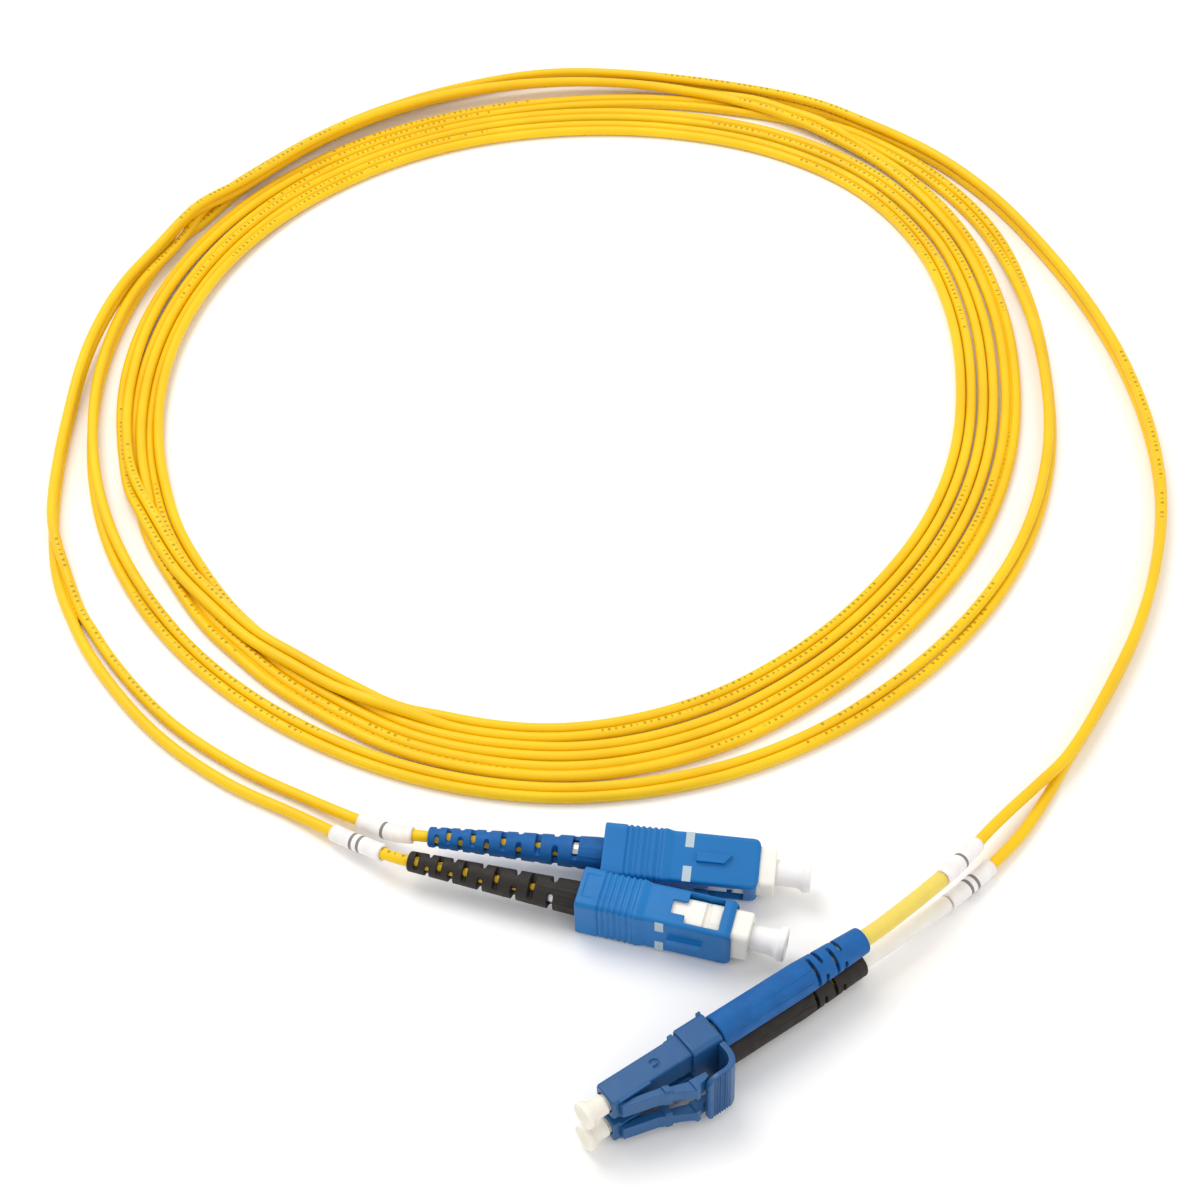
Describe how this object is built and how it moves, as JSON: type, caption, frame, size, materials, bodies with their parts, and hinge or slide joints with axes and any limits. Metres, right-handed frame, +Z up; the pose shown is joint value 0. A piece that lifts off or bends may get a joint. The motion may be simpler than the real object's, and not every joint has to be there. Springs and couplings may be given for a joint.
{
  "type": "fiber optic patch cord",
  "caption": "Duplex fibre patch cord: push-pull square plugs on one end, a clipped latching pair on the other, dust caps on, twin yellow cord lying in a loose coil.",
  "frame": {"origin": "on the surface the cord lies on, below the middle of the four plugs' joint footprint, measured without the cord and the sleeves on it", "axes": "+Z up, +X to the right and +Y away from the plugs towards the coil; the coil lies behind the plugs"},
  "size_m": [0.2184, 0.2834, 0.0126],
  "materials": {
    "sc_housing_blue": "moulded, satin",
    "sc_frame_cream": "moulded, satin",
    "lc_body_blue": "moulded, satin",
    "boot_blue": "soft moulded, matt",
    "boot_black": "soft moulded, matt",
    "ferrule_ceramic": "polished white ceramic",
    "plated_metal": "nickel plated",
    "spring_steel": "drawn wire",
    "fiber_buffer": "smooth",
    "cord_yellow": "extruded jacket, satin",
    "label_white": "satin sleeve",
    "clear_sleeve_a": "frosted sleeve",
    "clear_sleeve_b": "frosted sleeve",
    "cap_natural": "natural translucent",
    "cap_cream": "moulded, satin"
  },
  "bodies": {
    "root": {"sc_a_inner_frame": "sc_frame_cream", "sc_a_stop_ring": "plated_metal", "sc_a_crimp_sleeve": "plated_metal", "sc_a_boot": "boot_blue", "sc_a_label_sleeve": "label_white", "sc_tail_a": "cord_yellow", "sc_b_inner_frame": "sc_frame_cream", "sc_b_stop_ring": "plated_metal", "sc_b_crimp_sleeve": "plated_metal", "sc_b_boot": "boot_black", "sc_b_label_sleeve": "label_white", "sc_tail_b": "cord_yellow", "lc_a_body": "lc_body_blue", "lc_a_rear_body": "plated_metal", "lc_a_crimp_sleeve": "plated_metal", "lc_a_boot": "boot_blue", "lc_a_clear_sleeve": "clear_sleeve_a", "lc_a_label_sleeve": "label_white", "lc_tail_a": "cord_yellow", "lc_b_body": "lc_body_blue", "lc_b_rear_body": "plated_metal", "lc_b_crimp_sleeve": "plated_metal", "lc_b_boot": "boot_black", "lc_b_clear_sleeve": "clear_sleeve_b", "lc_b_label_sleeve": "label_white", "lc_tail_b": "cord_yellow", "lc_duplex_clip": "lc_body_blue", "cord_coil": "cord_yellow"},
    "sc_a_grip": {"sc_a_grip_housing": "sc_housing_blue"},
    "sc_a_ferrule_set": {"sc_a_ferrule": "ferrule_ceramic", "sc_a_ferrule_flange": "plated_metal", "sc_a_buffered_fiber": "fiber_buffer", "sc_a_spring": "spring_steel"},
    "sc_a_cap": {"sc_a_dust_cap": "cap_natural"},
    "sc_b_grip": {"sc_b_grip_housing": "sc_housing_blue"},
    "sc_b_ferrule_set": {"sc_b_ferrule": "ferrule_ceramic", "sc_b_ferrule_flange": "plated_metal", "sc_b_buffered_fiber": "fiber_buffer", "sc_b_spring": "spring_steel"},
    "sc_b_cap": {"sc_b_dust_cap": "cap_natural"},
    "lc_a_ferrule_set": {"lc_a_ferrule": "ferrule_ceramic", "lc_a_ferrule_flange": "plated_metal", "lc_a_buffered_fiber": "fiber_buffer", "lc_a_spring": "spring_steel"},
    "lc_a_cap": {"lc_a_dust_cap": "cap_cream"},
    "lc_a_lever": {"lc_a_latch_lever": "lc_body_blue"},
    "lc_b_ferrule_set": {"lc_b_ferrule": "ferrule_ceramic", "lc_b_ferrule_flange": "plated_metal", "lc_b_buffered_fiber": "fiber_buffer", "lc_b_spring": "spring_steel"},
    "lc_b_cap": {"lc_b_dust_cap": "cap_cream"},
    "lc_b_lever": {"lc_b_latch_lever": "lc_body_blue"},
    "lc_trigger": {"lc_trigger": "lc_body_blue"}
  },
  "joints": [
    {"name": "sc_a_grip_slide", "type": "slide", "parent": "root", "child": "sc_a_grip", "axis": [-0.9921, 0.1253, 0], "range_m": [0, 0.002]},
    {"name": "sc_a_ferrule_float", "type": "slide", "parent": "root", "child": "sc_a_ferrule_set", "axis": [-0.9921, 0.1253, 0], "range_m": [0, 0.001], "stiffness_N_per_m": 300, "deforming": ["sc_a_spring"]},
    {"name": "sc_a_cap_pull", "type": "slide", "parent": "root", "child": "sc_a_cap", "axis": [0.9921, -0.1253, 0], "range_m": [0, 0.012]},
    {"name": "sc_b_grip_slide", "type": "slide", "parent": "root", "child": "sc_b_grip", "axis": [-0.9655, 0.2605, 0], "range_m": [0, 0.002]},
    {"name": "sc_b_ferrule_float", "type": "slide", "parent": "root", "child": "sc_b_ferrule_set", "axis": [-0.9655, 0.2605, 0], "range_m": [0, 0.001], "stiffness_N_per_m": 300, "deforming": ["sc_b_spring"]},
    {"name": "sc_b_cap_pull", "type": "slide", "parent": "root", "child": "sc_b_cap", "axis": [0.9655, -0.2605, 0], "range_m": [0, 0.006]},
    {"name": "lc_a_ferrule_float", "type": "slide", "parent": "root", "child": "lc_a_ferrule_set", "axis": [0.8131, 0.5821, 0], "range_m": [0, 0.0006], "stiffness_N_per_m": 300, "deforming": ["lc_a_spring"]},
    {"name": "lc_a_cap_pull", "type": "slide", "parent": "root", "child": "lc_a_cap", "axis": [-0.8131, -0.5821, 0], "range_m": [0, 0.008]},
    {"name": "lc_a_lever_press", "type": "hinge", "parent": "root", "child": "lc_a_lever", "pos_m": [-0.00187, -0.0268, 0.00957], "axis": [-0.0254, 0.0355, 0.999], "range_deg": [0, 4.5]},
    {"name": "lc_b_ferrule_float", "type": "slide", "parent": "root", "child": "lc_b_ferrule_set", "axis": [0.8131, 0.5821, 0], "range_m": [0, 0.0006], "stiffness_N_per_m": 300, "deforming": ["lc_b_spring"]},
    {"name": "lc_b_cap_pull", "type": "slide", "parent": "root", "child": "lc_b_cap", "axis": [-0.8131, -0.5821, 0], "range_m": [0, 0.008]},
    {"name": "lc_b_lever_press", "type": "hinge", "parent": "root", "child": "lc_b_lever", "pos_m": [-0.00171, -0.02702, 0.00333], "axis": [-0.0254, 0.0355, 0.999], "range_deg": [0, 4.5]},
    {"name": "lc_trigger_press", "type": "hinge", "parent": "root", "child": "lc_trigger", "pos_m": [0.01391, -0.0169, 0.00649], "axis": [0.0254, -0.0355, -0.999], "range_deg": [0, 9], "stiffness_Nm_per_rad": 0.02}
  ],
  "couplings": [
    {"joint": "lc_a_lever_press", "follows": "lc_trigger_press", "ratio": 0.48},
    {"joint": "lc_b_lever_press", "follows": "lc_trigger_press", "ratio": 0.48}
  ]
}
